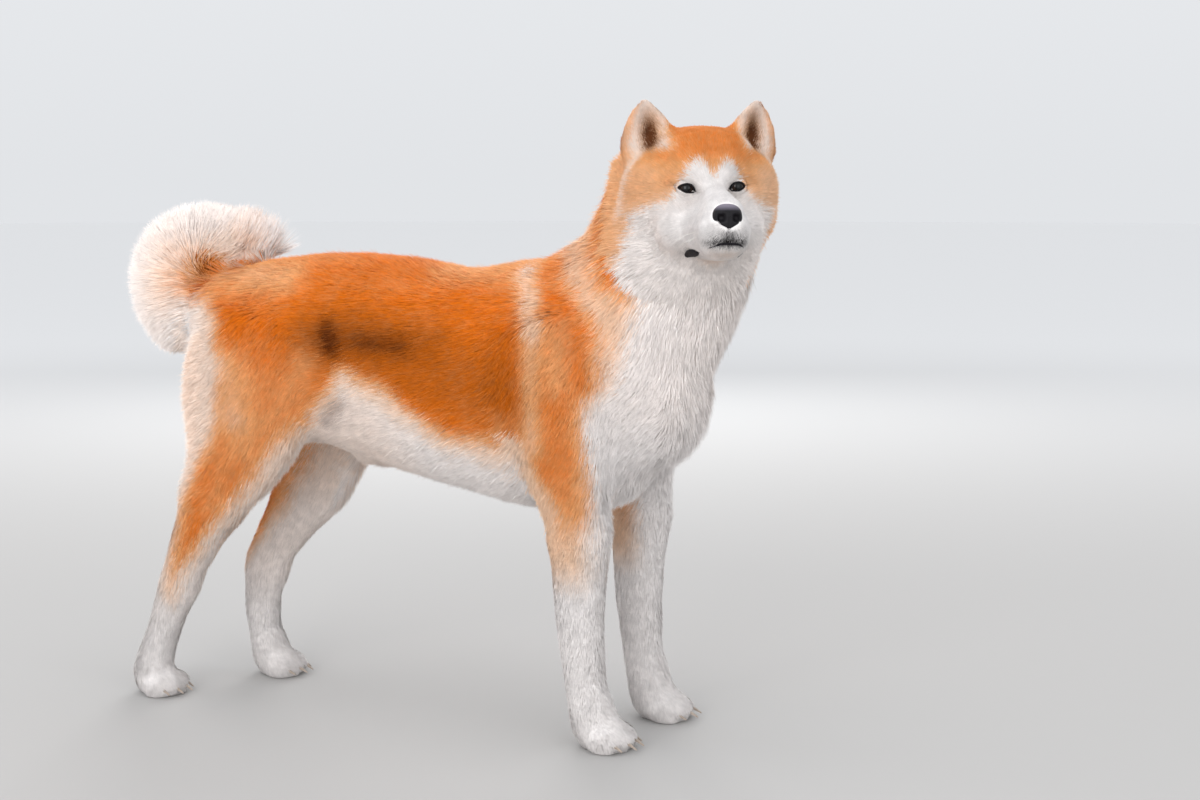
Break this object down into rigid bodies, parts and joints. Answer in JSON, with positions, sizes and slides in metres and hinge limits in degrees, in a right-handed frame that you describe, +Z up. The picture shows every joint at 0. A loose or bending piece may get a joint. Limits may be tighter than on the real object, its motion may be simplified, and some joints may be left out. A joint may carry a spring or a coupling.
{
  "type": "dog",
  "caption": "Standing male Akita, a red and white spitz dog with small pricked ears and a tail curled over its back, looking to its right.",
  "frame": {"origin": "centre of the dog's bounding box at floor level", "axes": "+X the way the body faces, +Y the dog's left, +Z up"},
  "size_m": [1.0492, 0.3214, 0.9059],
  "materials": {
    "red_coat": "orange-red fur, matt",
    "white_coat": "white fur, matt",
    "cream_coat": "cream fur, matt",
    "nose_leather": "damp black leather",
    "eye": "wet, dark brown",
    "claw": "dark horn, slightly glossy"
  },
  "bodies": {
    "root": {"chest": "red_coat", "ear_left": "cream_coat", "ear_right": "cream_coat", "eye_left": "eye", "eye_right": "eye", "fore_left_claw_1": "claw", "fore_left_claw_2": "claw", "fore_left_claw_3": "claw", "fore_left_claw_4": "claw", "fore_left_forearm": "white_coat", "fore_left_paw": "white_coat", "fore_left_upper_arm": "red_coat", "fore_right_claw_1": "claw", "fore_right_claw_2": "claw", "fore_right_claw_3": "claw", "fore_right_claw_4": "claw", "fore_right_forearm": "white_coat", "fore_right_paw": "white_coat", "fore_right_upper_arm": "red_coat", "head": "red_coat", "hind_left_claw_1": "claw", "hind_left_claw_2": "claw", "hind_left_claw_3": "claw", "hind_left_claw_4": "claw", "hind_left_hock": "white_coat", "hind_left_lower_thigh": "white_coat", "hind_left_paw": "white_coat", "hind_left_thigh": "red_coat", "hind_right_claw_1": "claw", "hind_right_claw_2": "claw", "hind_right_claw_3": "claw", "hind_right_claw_4": "claw", "hind_right_hock": "white_coat", "hind_right_lower_thigh": "white_coat", "hind_right_paw": "white_coat", "hind_right_thigh": "red_coat", "loin": "red_coat", "lower_jaw": "white_coat", "neck": "red_coat", "nose": "nose_leather", "rump": "red_coat", "tail_base": "cream_coat", "tail_middle": "cream_coat", "tail_tip": "cream_coat"}
  },
  "joints": []
}
